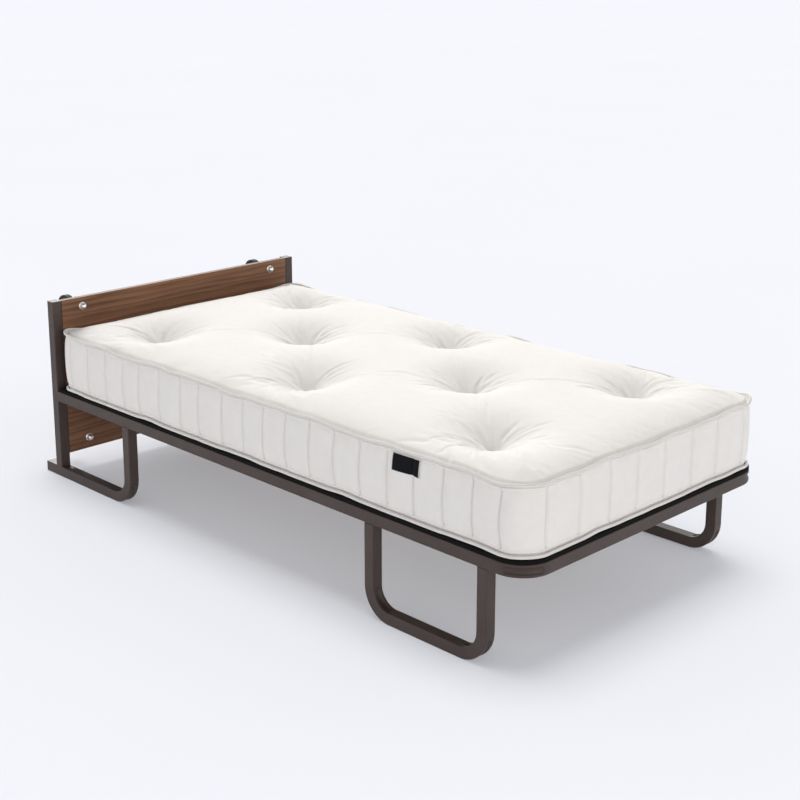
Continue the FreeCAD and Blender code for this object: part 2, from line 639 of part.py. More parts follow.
def parts():
    """Every node's name and shape."""
    nodes = {"main_rail": main_rail()}
    for name, side in SIDES.items():
        nodes[f"head_post_{name}"] = head_post(side)
        nodes[f"head_leg_{name}"] = head_leg(side)
        nodes[f"foot_leg_{name}"] = foot_leg(side)
        nodes[f"strap_{name}"] = strap(side)
    nodes["head_cross_rail"] = cross_rail(TUBE + 2)
    middle = (HEAD_LEG_SPAN + FOOT_LEG_REAR) / 2 - HALF_TUBE
    for number, distance in enumerate(
        (HEAD_LEG_SPAN - TUBE, middle, FOOT_LEG_REAR, FOOT_LEG_FRONT - TUBE), start=1
    ):
        nodes[f"cross_rail_{number}"] = cross_rail(distance)
    nodes["tube_caps"] = tube_caps()
    nodes["headboard_panel"] = headboard_panel()
    nodes["back_bar_upper"] = back_bar(CASTOR_TOP_Z)
    nodes["back_bar_lower"] = back_bar(CASTOR_LOW_Z)
    nodes["cap_nuts"] = cap_nuts()
    for number, x in enumerate(slat_middles(), start=1):
        nodes[f"slat_{number:02d}"] = slat(x)
    nodes["slat_screws"] = Part.makeCompound(all_slat_screws())
    nodes["deck_cover"] = deck_cover()
    nodes["mattress"] = mattress()
    nodes["mattress_label"] = mattress_label()
    nodes["buckle_body"] = buckle_body()
    nodes["buckle_tongue"] = buckle_tongue()
    nodes["strap_bolts"] = strap_bolts()
    for place, y, z in stem_places():
        nodes[f"castor_base_{place}"] = castor_base(y, z)
        nodes[f"castor_fork_{place}"] = castor_fork(y, z)
        nodes[f"castor_axle_{place}"] = castor_axle(y, z)
        nodes[f"castor_hub_{place}"] = castor_hub(y, z)
        nodes[f"castor_tyre_{place}"] = castor_tyre(y, z)
    return nodes


os.makedirs("parts", exist_ok=True)
for node, shape in parts().items():
    solids = shape.Solids
    if not solids or not all(solid.isValid() and solid.Volume > 0 for solid in solids):
        raise ValueError(f"{node} is not made of valid solids")
    if len(solids) == 1:
        shape = solids[0]
    shape.exportStep(f"parts/{node}.step")
    print(f"{node}: {len(solids)} solid, {shape.Volume / 1000:.1f} cm3")
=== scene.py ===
import json
import math

import bpy
import numpy as np
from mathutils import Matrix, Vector
from mathutils.bvhtree import BVHTree


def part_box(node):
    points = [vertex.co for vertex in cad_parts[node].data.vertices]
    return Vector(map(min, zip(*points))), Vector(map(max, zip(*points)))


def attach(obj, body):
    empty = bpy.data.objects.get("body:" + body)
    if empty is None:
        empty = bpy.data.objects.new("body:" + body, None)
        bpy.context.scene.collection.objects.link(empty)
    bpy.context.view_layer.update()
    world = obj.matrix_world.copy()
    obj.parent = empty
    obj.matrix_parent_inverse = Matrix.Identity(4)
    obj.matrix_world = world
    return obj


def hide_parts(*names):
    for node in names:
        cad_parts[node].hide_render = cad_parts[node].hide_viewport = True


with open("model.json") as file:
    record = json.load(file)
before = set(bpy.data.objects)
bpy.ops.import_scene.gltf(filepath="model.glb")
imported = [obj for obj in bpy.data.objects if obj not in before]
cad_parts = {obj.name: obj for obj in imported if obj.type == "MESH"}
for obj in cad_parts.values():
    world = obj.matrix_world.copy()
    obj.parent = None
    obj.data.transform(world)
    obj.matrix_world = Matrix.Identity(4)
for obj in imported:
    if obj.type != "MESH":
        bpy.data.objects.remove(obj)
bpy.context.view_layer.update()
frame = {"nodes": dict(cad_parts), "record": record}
nodes = frame["nodes"]
scene = bpy.context.scene
BED = "bed"

# ---------------------------------------------------------------- places, from the frame
mattress_low, mattress_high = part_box("mattress")
deck_low, deck_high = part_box("deck_cover")
MIDDLE = (mattress_low + mattress_high) / 2
HALF_LENGTH = (mattress_high.x - mattress_low.x) / 2
HALF_WIDTH = (mattress_high.y - mattress_low.y) / 2
HEAD_CORNER = 0.055                # mattress corner radii in plan
FOOT_CORNER = 0.082
SEAM_INSET = 0.0075                # seams in from the mattress's outline
SEAM_HALF_LENGTH = HALF_LENGTH - SEAM_INSET
SEAM_HALF_WIDTH = HALF_WIDTH - SEAM_INSET
TOP_SEAM = mattress_low.z + 0.176  # heights of the two piped seams
LOW_SEAM = mattress_low.z + 0.0048
SEAM_FADE = 0.03                   # how far in from the upper seam its waves fade
SEAM_GROOVE = 0.0070               # depth of the dip in the top beside the upper piping
SEAM_GROOVE_IN = 0.0055            # its distance in from the seam
SEAM_GROOVE_WIDTH = 0.0035
CORD = 0.0042                      # radius of the piping's cord
CROWN = 0.040                      # filling over the upper seam
CROWN_REACH = 0.060                # how far in from the seam it takes to rise
CROWN_LOSS = 0.7                   # share of it missing at the corners
# how far the upper seam is drawn up at its corners: near head, near foot, far foot, far head
EAR_RISES = (0.012, 0.006, 0.018, 0.010)
EAR_SPREAD = 0.060                 # how far the raised corners of the upper seam reach
FULLNESS = 0.0042                  # spare cloth drawn in round each tuft
LOOSE = 1.0015                     # size that all the cloth is cut to, over the top's own
TUFT_DEPTH = 0.074                 # depth and reach of the bowl round a tuft
TUFT_REACH = 0.215
BOWL_POWER = 2.2                   # how sharply a bowl deepens towards its tuft
BOWL_OVERLAP = 0.35                # share of the shallower bowl added where two meet
EDGE_BOWL = 0.25                   # share of a bowl's depth that is left at the seam
EDGE_BOWL_REACH = 0.085            # how far in from the seam it takes to be whole
TUFT_HOLE = 0.011                  # cloth held down by a tuft's washer
CELL = 0.008                       # sides of the cloth's squares
PUFF = 0.0050                      # border's channels beside their stitch lines
GROOVE = 0.0042                    # and the sharp groove along each line
GROOVE_REACH = 0.0030
BULGE = 0.0055                     # how far the border swells at half its height
SIDE_PANELS = 19                   # panels between stitch lines along a side, and across an end
END_PANELS = 7
UNDERSIDE_GAP = 0.0005             # between the underside and the deck cover
# fans of creases round each tuft: (heading, spread, number, turn per metre, depth)
FANS = ((-2.05, 1.60, 8, 2.6, 0.0060), (1.45, 1.40, 6, -2.6, 0.0040),
        (-0.70, 0.90, 3, 1.2, 0.0022), (3.00, 1.10, 3, -1.2, 0.0022))
TUFT_FROM_FOOT = 0.274             # mattress's foot end to the last tufts
TUFT_STEP = 0.340
TUFT_ROW = 0.283                   # outer tufts' distance from the long middle line
TUFT_RADIUS = 0.0125               # of a tuft's wool, and its height
TUFT_HEIGHT = 0.0075
HEM = 0.0096                       # deck cover turned down round the deck's edge
STRAP_THICK = 0.0014
THREADS_PER_SCALE = 3.5            # bands of a wave texture in a metre at scale 1, about


def tuft_places():
    """Tufts in plan about the mattress's middle: pairs of outer ones, with one between each two pairs."""
    places = []
    for step in range(5):
        x = HALF_LENGTH - TUFT_FROM_FOOT - TUFT_STEP * step
        places += [(x, 0.0)] if step % 2 else [(x, -TUFT_ROW), (x, TUFT_ROW)]
    return places


TUFTS = tuft_places()


# ---------------------------------------------------------------- small helpers
def new_object(name, vertices, faces):
    """A smooth-shaded mesh object with its origin at the frame's."""
    mesh = bpy.data.meshes.new(name)
    mesh.from_pydata([tuple(map(float, v)) for v in vertices], [], [tuple(map(int, f)) for f in faces])
    mesh.update()
    mesh.polygons.foreach_set("use_smooth", [True] * len(mesh.polygons))
    made = bpy.data.objects.new(name, mesh)
    scene.collection.objects.link(made)
    return made


def on_bed(piece, slot, material, *stands_for):
    """Rides a piece on the bed's body, with its finish and the CAD nodes that it stands for."""
    piece.data.materials.append(material)
    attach(piece, BED)
    if stands_for:
        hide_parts(*stands_for)
    return piece


def grid_faces(rows, columns, closed=False, looped=False):
    """Quads of a grid numbered row by row. closed joins its last column to its first, looped its rows."""
    index = np.arange(rows * columns).reshape(rows, columns)
    if looped:
        index = np.concatenate([index, index[:1]])
    if closed:
        index = np.concatenate([index, index[:, :1]], 1)
    return np.stack([index[:-1, :-1], index[:-1, 1:], index[1:, 1:], index[1:, :-1]], -1).reshape(-1, 4)


def ripple(share, terms):
    """A smooth wave round a loop: share runs from 0 to 1, terms are (height, waves, phase)."""
    return sum(height * np.sin(2 * math.pi * waves * share + phase) for height, waves, phase in terms)


def smooth_step(low, high, value):
    """0 up to low, 1 from high, and a smooth rise between."""
    t = np.clip((value - low) / (high - low), 0, 1)
    return t * t * (3 - 2 * t)


# ---------------------------------------------------------------- materials
def material(name, **sockets):
    """A node material with its shader's own sockets set. Returns it and a maker of wired nodes."""
    made = bpy.data.materials.new(name)
    made.use_nodes = True
    tree = made.node_tree
    shader = tree.nodes["Principled BSDF"]
    for socket, value in sockets.items():
        shader.inputs[socket.replace("_", " ")].default_value = value

    def wire(kind, links=None, **settings):
        node = tree.nodes.new(kind)
        for key, value in settings.items():
            if hasattr(node, key):
                setattr(node, key, value)
            else:
                node.inputs[key.replace("_", " ")].default_value = value
        for key, source in (links or {}).items():
            tree.links.new(source, node.inputs[key])
        return node

    wire.tree = tree
    wire.shader = shader
    return made, wire


def place(wire, scale):
    """Object coordinates, stretched by a scale along each axis."""
    coordinates = wire("ShaderNodeTexCoord")
    mapping = wire("ShaderNodeMapping", {"Vector": coordinates.outputs["Object"]}, Scale=scale)
    return mapping.outputs["Vector"]


def ramp(wire, factor, *stops):
    """A colour ramp: stops are (place, (r, g, b))."""
    node = wire("ShaderNodeValToRGB", {"Fac": factor})
    elements = node.color_ramp.elements
    while len(elements) < len(stops):
        elements.new(0.5)
    for element, (position, colour) in zip(elements, stops):
        element.position = position
        element.color = (*colour, 1.0)
    return node.outputs["Color"]


def noise_at(wire, vector, scale, detail=3.0, roughness=0.5, distortion=0.0):
    """Cloudy noise from 0 to 1."""
    node = wire("ShaderNodeTexNoise", {"Vector": vector}, Scale=scale, Detail=detail,
                Roughness=roughness, Distortion=distortion)
    return node.outputs["Fac"]


def waves_at(wire, vector, direction, scale, **settings):
    """Bands from 0 to 1 that follow each other along a direction."""
    node = wire("ShaderNodeTexWave", {"Vector": vector}, bands_direction=direction, Scale=scale, **settings)
    return node.outputs["Fac"]


def map_to(wire, value, low, high):
    """A value from 0 to 1, made to run from low to high."""
    return wire("ShaderNodeMapRange", {"Value": value}, To_Min=low, To_Max=high).outputs["Result"]


def math_node(wire, operation, first, second=0.0):
    """The result of an operation on two sockets or numbers."""
    node = wire("ShaderNodeMath", operation=operation)
    for socket, value in zip(node.inputs, (first, second)):
        if isinstance(value, (int, float)):
            socket.default_value = value
        else:
            wire.tree.links.new(value, socket)
    return node.outputs[0]


def bump(wire, height, strength, distance, under=None):
    """A normal that shows a height as relief, on top of another bump's normal if one is given."""
    links = {"Height": height}
    if under is not None:
        links["Normal"] = under
    return wire("ShaderNodeBump", links, Strength=strength, Distance=distance).outputs["Normal"]


def finish_with(wire, colour=None, roughness=None, normal=None):
    """Links the material's shader to what it is given."""
    for socket, source in (("Base Color", colour), ("Roughness", roughness), ("Normal", normal)):
        if source is not None:
            wire.tree.links.new(source, wire.shader.inputs[socket])


def powder_coat():
    """Dark bronze powder coat: fine orange peel and faint mottling."""
    made, wire = material("powder_coat", Roughness=0.42, IOR=1.5, Specular_IOR_Level=0.36)
    even = place(wire, (1, 1, 1))
    mottle = noise_at(wire, even, 9.0, 4.0)
    colour = ramp(wire, mottle, (0.30, (0.043, 0.028, 0.0225)), (0.75, (0.060, 0.040, 0.0330)))
    rough = map_to(wire, noise_at(wire, even, 60.0, 3.0), 0.36, 0.52)
    finish_with(wire, colour, rough, bump(wire, noise_at(wire, even, 900.0, 2.0), 0.10, 0.0004))
    return made


def walnut():
    """Walnut veneer with its grain running along the board."""
    made, wire = material("walnut_veneer", Roughness=0.50, Specular_IOR_Level=0.22)
    stretched = place(wire, (1.0, 0.05, 1.0))
    rings = waves_at(wire, stretched, "Z", 17.0, Distortion=7.0, Detail=3.0, Detail_Scale=2.5)
    streaks = noise_at(wire, stretched, 85.0, 4.0, 0.55, 0.4)
    clouds = noise_at(wire, place(wire, (1.0, 0.25, 1.0)), 9.0, 3.0, 0.5)
    fine = noise_at(wire, place(wire, (1.0, 0.02, 1.0)), 420.0, 4.0, 0.65)
    grain = None
    for height, share in ((rings, 0.16), (streaks, 0.38), (clouds, 0.26), (fine, 0.20)):
        part = math_node(wire, "MULTIPLY", height, share)
        grain = part if grain is None else math_node(wire, "ADD", grain, part)
    colour = ramp(wire, grain, (0.34, (0.095, 0.043, 0.022)), (0.45, (0.158, 0.074, 0.038)),
                  (0.56, (0.196, 0.096, 0.050)), (0.68, (0.242, 0.126, 0.070)))
    finish_with(wire, colour, None, bump(wire, fine, 0.18, 0.0005))
    return made


def ply():
    """Birch ply: pale faces with soft grain along the slat, darker glue lines on its edges."""
    made, wire = material("slat_ply", Roughness=0.5)
    grain = noise_at(wire, place(wire, (1.0, 0.03, 1.0)), 160.0, 4.0, 0.6, 0.3)
    plies = waves_at(wire, place(wire, (0, 0, 1)), "Z", 120.0)
    face = ramp(wire, grain, (0.3, (0.50, 0.34, 0.19)), (0.7, (0.66, 0.49, 0.31)))
    edge = ramp(wire, plies, (0.1, (0.30, 0.18, 0.09)), (0.5, (0.62, 0.45, 0.27)))
    upright = wire("ShaderNodeSeparateXYZ", {"Vector": wire("ShaderNodeNewGeometry").outputs["Normal"]})
    flat = math_node(wire, "ABSOLUTE", upright.outputs["Z"])
    mix = wire("ShaderNodeMix", {"Factor": flat, "A": edge, "B": face}, data_type="RGBA")
    finish_with(wire, mix.outputs["Result"], None, bump(wire, grain, 0.15, 0.0004))
    return made


def plain_metal(name, colour, roughness, brushed=0.12):
    """Plated metal with fine rubbing marks."""
    made, wire = material(name, Metallic=1.0, Roughness=roughness)
    marks = noise_at(wire, place(wire, (40.0, 300.0, 300.0)), 4.0, 4.0, 0.6)
    tone = ramp(wire, marks, (0.2, tuple(c * 0.86 for c in colour)), (0.8, colour))
    spread = map_to(wire, marks, roughness * 0.75, roughness * 1.35)
    finish_with(wire, tone, spread, bump(wire, marks, brushed, 0.0002))
    return made


def moulded(name, colour, roughness, grain=0.25):
    """Moulded plastic or rubber, or a plastic coating, with a fine grain."""
    made, wire = material(name, Roughness=roughness)
    even = place(wire, (1, 1, 1))
    specks = noise_at(wire, even, 1400.0, 2.0, 0.6)
    cloud = noise_at(wire, even, 30.0, 3.0)
    tone = ramp(wire, cloud, (0.3, tuple(c * 0.8 for c in colour)), (0.7, tuple(c * 1.25 for c in colour)))
    spread = map_to(wire, cloud, roughness - 0.06, roughness + 0.08)
    finish_with(wire, tone, spread, bump(wire, specks, grain, 0.0003))
    return made


def ticking(name, light, dark, threads=1100.0, relief=0.35):
    """Off-white ticking: a fine weave along every axis, with soft slubs and a faint sheen."""
    made, wire = material(name, Roughness=0.82, Sheen_Weight=0.25, Sheen_Roughness=0.45)
    even = place(wire, (1, 1, 1))
    slub = noise_at(wire, even, 34.0, 4.0, 0.6)
    colour = ramp(wire, slub, (0.25, dark), (0.75, light))
    weave = None
    for direction in ("X", "Y", "Z"):
        height = waves_at(wire, even, direction, threads / THREADS_PER_SCALE,
                          Distortion=1.2, Detail=1.0, Detail_Scale=2.0)
        weave = height if weave is None else math_node(wire, "ADD", weave, height)
    cross = bump(wire, weave, relief, 0.0004)
    finish_with(wire, colour, None, bump(wire, noise_at(wire, even, 110.0, 3.0), 0.12, 0.0015, cross))
    return made


def thread_with_painted_shade():
    """Twisted sewing thread, greyed from its own white: painted shade that darkens the border's stitch
    lines.
    """
    made, wire = material("sewing_thread_painted_shade", Roughness=0.75)
    twist = waves_at(wire, place(wire, (1, 1, 1)), "DIAGONAL", 420.0)
    # grey-beige stops: painted shade, since the real thread is white
    colour = ramp(wire, twist, (0.2, (0.46, 0.44, 0.41)), (0.8, (0.60, 0.58, 0.54)))
    finish_with(wire, colour, None, bump(wire, twist, 0.5, 0.0003))
    return made


def wool():
    """Loose white wool of the tufts."""
    made, wire = material("tuft_wool", Roughness=0.95, Sheen_Weight=0.6, Sheen_Roughness=0.4)
    fibres = noise_at(wire, place(wire, (1, 1, 1)), 900.0, 4.0, 0.7)
    colour = ramp(wire, fibres, (0.3, (0.74, 0.72, 0.67)), (0.7, (0.90, 0.89, 0.85)))
    finish_with(wire, colour, None, bump(wire, fibres, 0.6, 0.0006))
    return made


def felt():
    """Black needled felt."""
    made, wire = material("deck_felt", Roughness=0.96, Specular_IOR_Level=0.15)
    fibres = noise_at(wire, place(wire, (1, 1, 1)), 700.0, 5.0, 0.7, 0.8)
    colour = ramp(wire, fibres, (0.3, (0.003, 0.003, 0.003)), (0.8, (0.009, 0.008, 0.008)))
    finish_with(wire, colour, None, bump(wire, fibres, 0.5, 0.0007))
    return made


def webbing():
    """Black elastic webbing: ribs along the strap, crossed by picks."""
    made, wire = material("strap_webbing", Roughness=0.7, Sheen_Weight=0.2, Sheen_Roughness=0.4)
    even = place(wire, (1, 1, 1))
    ribs = waves_at(wire, even, "X", 150.0)
    picks = waves_at(wire, even, "Y", 320.0)
    relief = math_node(wire, "ADD", ribs, math_node(wire, "MULTIPLY", picks, 0.6))
    mottle = noise_at(wire, even, 220.0, 3.0)
    colour = ramp(wire, mottle, (0.3, (0.022, 0.022, 0.024)), (0.7, (0.050, 0.050, 0.054)))
    finish_with(wire, colour, None, bump(wire, relief, 0.6, 0.0006))
    return made


def label_cloth():
    """Black woven label, blank but for its pale selvedge."""
    made, wire = material("label_weave", Roughness=0.8, Specular_IOR_Level=0.10)
    even = place(wire, (1, 1, 1))
    threads = waves_at(wire, even, "X", 500.0)
    low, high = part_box("mattress_label")
    place_of = wire("ShaderNodeSeparateXYZ", {"Vector": even})
    selvedge = None
    for axis, start, end, edge in (("X", low.x, high.x, 0.0022), ("Z", low.z, high.z, 0.0020)):
        from_middle = math_node(wire, "SUBTRACT", place_of.outputs[axis], (start + end) / 2)
        out = math_node(wire, "ABSOLUTE", from_middle)
        pale = math_node(wire, "GREATER_THAN", out, (end - start) / 2 - edge)
        selvedge = pale if selvedge is None else math_node(wire, "MAXIMUM", selvedge, pale)
    mottle = noise_at(wire, even, 300.0)
    tone = ramp(wire, mottle, (0.3, (0.004, 0.0045, 0.0055)), (0.7, (0.009, 0.010, 0.012)))
    ecru = (0.66, 0.64, 0.61, 1.0)
    mix = wire("ShaderNodeMix", {"Factor": selvedge, "A": tone}, data_type="RGBA", B=ecru)
    finish_with(wire, mix.outputs["Result"], None, bump(wire, threads, 0.5, 0.0003))
    return made


CAD_FINISHES = {
    "frame_coating": powder_coat(),
    "black_plastic": moulded("cap_plastic", (0.018, 0.017, 0.017), 0.45),
    "walnut_veneer": walnut(),
    "bright_plating": plain_metal("bright_plating", (0.92, 0.91, 0.88), 0.30, 0.05),
    "slat_ply": ply(),
    "zinc_plating": plain_metal("zinc_plating", (0.55, 0.56, 0.57), 0.34),
    "castor_steel": moulded("castor_coating", (0.022, 0.022, 0.024), 0.40, 0.12),
    "wheel_plastic": moulded("wheel_plastic", (0.045, 0.045, 0.048), 0.55),
    "wheel_rubber": moulded("wheel_rubber", (0.016, 0.016, 0.016), 0.75, 0.35),
}
TICKING = ticking("mattress_ticking", (0.810, 0.782, 0.742), (0.775, 0.745, 0.702))
THREAD_PAINTED_SHADE = thread_with_painted_shade()
PIPING = ticking("piping_tape", (0.820, 0.792, 0.752), (0.760, 0.730, 0.688), 1600.0, 0.5)
WEBBING = webbing()


def finish_cad_nodes():
    """Each carried-over CAD node whose slot has a finish here gets that material."""
    slots = {part["node"]: part["material_slot"] for part in frame["record"]["subparts"]}
    for name, node in nodes.items():
        if slots[name] in CAD_FINISHES:
            node.data.materials.clear()
            node.data.materials.append(CAD_FINISHES[slots[name]])


# ---------------------------------------------------------------- mattress
def corner_at(x):
    """Plan radius of the seams' corners on the side of the mattress where x lies."""
    return np.where(x < 0, HEAD_CORNER, FOOT_CORNER) - SEAM_INSET


def plan_grid(cell):
    """Points of a rounded rectangle's grid, as (columns, rows, 2), about the mattress's middle."""
    half_x, half_y = SEAM_HALF_LENGTH, SEAM_HALF_WIDTH
    across = np.linspace(-half_x, half_x, int(round(2 * half_x / cell)) + 1)
    along = np.linspace(-half_y, half_y, int(round(2 * half_y / cell)) + 1)
    x, y = np.meshgrid(across, along, indexing="ij")
    corner = corner_at(x)
    corner_x = np.clip((np.abs(x) - half_x + corner) / corner, 0, 1)
    corner_y = np.clip((np.abs(y) - half_y + corner) / corner, 0, 1)
    round_x = (half_x - corner) + corner * corner_x * np.sqrt(1 - corner_y ** 2 / 2)
    round_y = (half_y - corner) + corner * corner_y * np.sqrt(1 - corner_x ** 2 / 2)
    x = np.where(corner_x > 0, np.sign(x) * round_x, x)
    y = np.where(corner_y > 0, np.sign(y) * round_y, y)
    return np.stack([x, y], -1)


def rim_of(grid):
    """The boundary of a grid's array, once round, anticlockwise from above."""
    return np.concatenate([grid[:-1, 0], grid[-1, :-1], grid[:0:-1, -1], grid[0, :0:-1]])


def edge_distance(plan):
    """How far each point lies in from the rounded rectangle's edge."""
    corner = corner_at(plan[..., 0])
    over_x = np.abs(plan[..., 0]) - (SEAM_HALF_LENGTH - corner)
    over_y = np.abs(plan[..., 1]) - (SEAM_HALF_WIDTH - corner)
    at_corner = np.hypot(np.maximum(over_x, 0), np.maximum(over_y, 0))
    over = np.where((over_x > 0) & (over_y > 0), at_corner, np.maximum(over_x, over_y))
    return np.maximum(corner - over, 0)


def seam_wave(share):
    """How the upper seam rises and falls round the mattress."""
    return ripple(share, [(0.0022, 11, 0.4), (0.0016, 23, 2.0), (0.0011, 41, 4.1)])


def low_seam_wave(share):
    """How the lower seam lifts off the deck in shallow scallops."""
    resting = 0.0006
    lift = ripple(share, [(0.0014, 13, 1.3), (0.0010, 27, 0.2), (0.0006, 47, 3.0)])
    return np.maximum(lift, -resting) + resting


def corner_nearness(plan):
    """1 at a square corner of the mattress's plan, fading to 0 away from it, for each of the four."""
    fades = []
    for x, y in ((-1, -1), (1, -1), (1, 1), (-1, 1)):
        away = np.hypot(plan[..., 0] - x * HALF_LENGTH, plan[..., 1] - y * HALF_WIDTH)
        fades.append(np.exp(-(away / EAR_SPREAD) ** 2))
    return fades


def ears(plan):
    """How far the upper seam is drawn up at the mattress's corners."""
    return sum(rise * fade for rise, fade in zip(EAR_RISES, corner_nearness(plan)))


def shaped_top(plan):
    """Heights of the filled top before its cloth wrinkles: a crown with a dimple at each tuft."""
    inside = edge_distance(plan)
    fullness = 1 - CROWN_LOSS * np.clip(sum(corner_nearness(plan)), 0, 1)
    height = CROWN * fullness * (1 - np.exp(-inside / CROWN_REACH))
    bowls = np.zeros(inside.shape)
    for x, y in TUFTS:
        away = np.hypot(plan[..., 0] - x, plan[..., 1] - y)
        bowl = np.clip(1 - away / TUFT_REACH, 0, 1) ** BOWL_POWER
        bowls = np.maximum(bowls, bowl) + BOWL_OVERLAP * np.minimum(bowls, bowl)
    near_edge = EDGE_BOWL + (1 - EDGE_BOWL) * smooth_step(0.0, EDGE_BOWL_REACH, inside)
    return height - TUFT_DEPTH * bowls * near_edge


def crease_fans(plan):
    """Creases that the pull of each tuft gathers in the cloth: curved rays, deepest on two sides."""
    fade_in, fade_out = 0.035, 0.07
    shoulder, shoulder_width = 0.30, 2.2
    total = np.zeros(plan.shape[:2])
    random = np.random.default_rng(11)
    for x, y in TUFTS:
        east, north = plan[..., 0] - x, plan[..., 1] - y
        away = np.hypot(east, north)
        angle = np.arctan2(north, east)
        for heading, spread, count, bend, depth in FANS:
            for step in range(count):
                start = heading + spread * ((step + 0.5) / count - 0.5) + random.uniform(-0.06, 0.06)
                first = random.uniform(0.016, 0.045)
                last = random.uniform(0.120, 0.200)
                width = random.uniform(0.0040, 0.0062)
                deep = depth * random.uniform(0.5, 1.0)
                turned = angle - start - bend * random.uniform(0.7, 1.3) * away
                aside = np.arctan2(np.sin(turned), np.cos(turned)) * away
                ending = smooth_step(last - fade_out, last, away)
                reach = smooth_step(first, first + fade_in, away) * (1 - ending)
                raised = shoulder * np.exp(-(aside / (shoulder_width * width)) ** 2)
                fold = raised - np.exp(-(aside / width) ** 2)
                total += deep * fold * reach
    return total * smooth_step(0.012, 0.04, edge_distance(plan))


def cut_cloth(points):
    """Where the cloth would lie unstrained: pushed out round each tuft, so that it is too full there."""
    cut = points.copy()
    for x, y in TUFTS:
        away_x, away_y = points[..., 0] - x, points[..., 1] - y
        away = np.hypot(away_x, away_y)
        rising, falling = smooth_step(0.0, 0.022, away), smooth_step(0.08, 0.26, away)
        push = FULLNESS * rising * (1 - falling) / np.maximum(away, 0.001)
        cut[..., 0] += push * away_x
        cut[..., 1] += push * away_y
    cut[..., :2] *= LOOSE
    return cut


def wrinkle(points):
    """Cloth simulation of the top: cloth that is gathered into each tuft buckles into radiating creases."""
    spring_of_filling = 0.16
    frames, gathered_by = 24, 10
    shape = points.shape[:2]
    flat = points.reshape(-1, 3)
    sheet = new_object("top_cloth", cut_cloth(points).reshape(-1, 3), grid_faces(*shape))
    sheet.shape_key_add(name="cut")
    gathered = sheet.shape_key_add(name="gathered")
    gathered.data.foreach_set("co", flat.astype(np.float32).ravel())
    for amount, frame_number in ((0.0, 1), (1.0, gathered_by)):
        gathered.value = amount
        gathered.keyframe_insert("value", frame=frame_number)
    held = np.full(shape, spring_of_filling)
    held[[0, -1], :] = 1.0
    held[:, [0, -1]] = 1.0
    for x, y in TUFTS:
        held[np.hypot(points[..., 0] - x, points[..., 1] - y) < TUFT_HOLE] = 1.0
    group = sheet.vertex_groups.new(name="held")
    for weight in (spring_of_filling, 1.0):
        group.add(np.flatnonzero(held.ravel() == weight).tolist(), weight, "REPLACE")
    cloth = sheet.modifiers.new("cloth", "CLOTH")
    settings = cloth.settings
    settings.quality = 5
    settings.mass = 0.3
    settings.air_damping = 2.0
    settings.tension_stiffness = 15.0
    settings.compression_stiffness = 15.0
    settings.shear_stiffness = 5.0
    settings.bending_stiffness = 0.5
    settings.bending_damping = 0.5
    settings.vertex_group_mass = "held"
    settings.pin_stiffness = 1.0
    settings.effector_weights.gravity = 0.0
    cloth.collision_settings.use_collision = False
    cloth.point_cache.frame_end = frames
    for step in range(1, frames + 1):
        scene.frame_set(step)
    result = np.empty(len(flat) * 3, np.float32)
    evaluated = sheet.evaluated_get(bpy.context.evaluated_depsgraph_get())
    evaluated.data.vertices.foreach_get("co", result)
    scene.frame_set(1)
    bpy.data.objects.remove(sheet)
    return result.reshape(points.shape).astype(float)


def refine(points):
    """Twice as many points along both axes of a grid, on smooth curves through the old ones."""
    for axis in (0, 1):
        points = np.swapaxes(points, 0, axis)
        padded = np.concatenate([2 * points[:1] - points[1:2], points, 2 * points[-1:] - points[-2:-1]])
        between = (9 * (padded[1:-2] + padded[2:-1]) - padded[:-3] - padded[3:]) / 16
        finer = np.empty((2 * len(points) - 1, *points.shape[1:]))
        finer[::2] = points
        finer[1::2] = between
        points = np.swapaxes(finer, 0, axis)
    return points


def stitch_lines(rim):
    """Rim points that carry the border's stitch lines, about 93 mm apart along the sides."""
    head, foot = HEAD_CORNER - SEAM_INSET, FOOT_CORNER - SEAM_INSET
    side = 2 * SEAM_HALF_LENGTH - head - foot
    head_end, foot_end = 2 * (SEAM_HALF_WIDTH - head), 2 * (SEAM_HALF_WIDTH - foot)
    head_arc, foot_arc = head * math.pi / 2, foot * math.pi / 2
    # (length, panels) of each stretch of the outline, from the middle of its near head corner
    stretches = [(head_arc / 2, 1), (side, SIDE_PANELS), (foot_arc, 1), (foot_end, END_PANELS),
                 (foot_arc, 1), (side, SIDE_PANELS), (head_arc, 1), (head_end, END_PANELS),
                 (head_arc / 2, 1)]
    random = np.random.default_rng(7)
    places, start = [], 0.0
    for length, count in stretches:
        for step in range(count):
            sway = 0.006 * random.uniform(-1, 1) if step else 0.0
            places.append(start + length * step / count + sway)
        start += length
    share = share_round(rim)
    return np.array(sorted({int(np.abs(share - place / start).argmin()) for place in places[1:]}))


def channel_profile(share, lines, around):
    """How far the border stands out: puffed between stitch lines, and drawn in sharply along each one."""
    after = np.searchsorted(lines, share, side="right")
    left = np.where(after > 0, lines[after - 1], lines[-1] - 1)
    right = np.where(after < len(lines), lines[after % len(lines)], lines[0] + 1)
    across = np.clip((share - left) / (right - left), 0, 1)
    from_line = np.minimum(share - left, right - share) * around
    puffed = PUFF * (1 - np.abs(2 * across - 1) ** 3) - PUFF
    return puffed - GROOVE * np.exp(-(from_line / GROOVE_REACH) ** 2)


def border_rows():
    """Depths below the upper seam, as shares of the border's height, closest beside both seams."""
    height = TOP_SEAM - LOW_SEAM
    tape = np.array([0.0, 0.0015, 0.003, 0.0045, 0.006, 0.0075, 0.009, 0.0105,
                     0.0125, 0.015, 0.019, 0.025]) / height
    middle = np.linspace(tape[-1], 1 - tape[-1], 16)[1:-1]
    return np.concatenate([tape, middle, 1 - tape[::-1]])


def tape_profile(depth):
    """Outward offset of the border at a depth below a piped seam, in metres: under the cord, tape, puff."""
    depths = [0.0, 0.003, 0.0055, 0.0085, 0.0105, 0.0125, 0.018, 0.030]
    offsets = [-0.0030, -0.0044, -0.0040, -0.0012, -0.0016, -0.0036, -0.0010, 0.0]
    return np.interp(depth, depths, offsets)


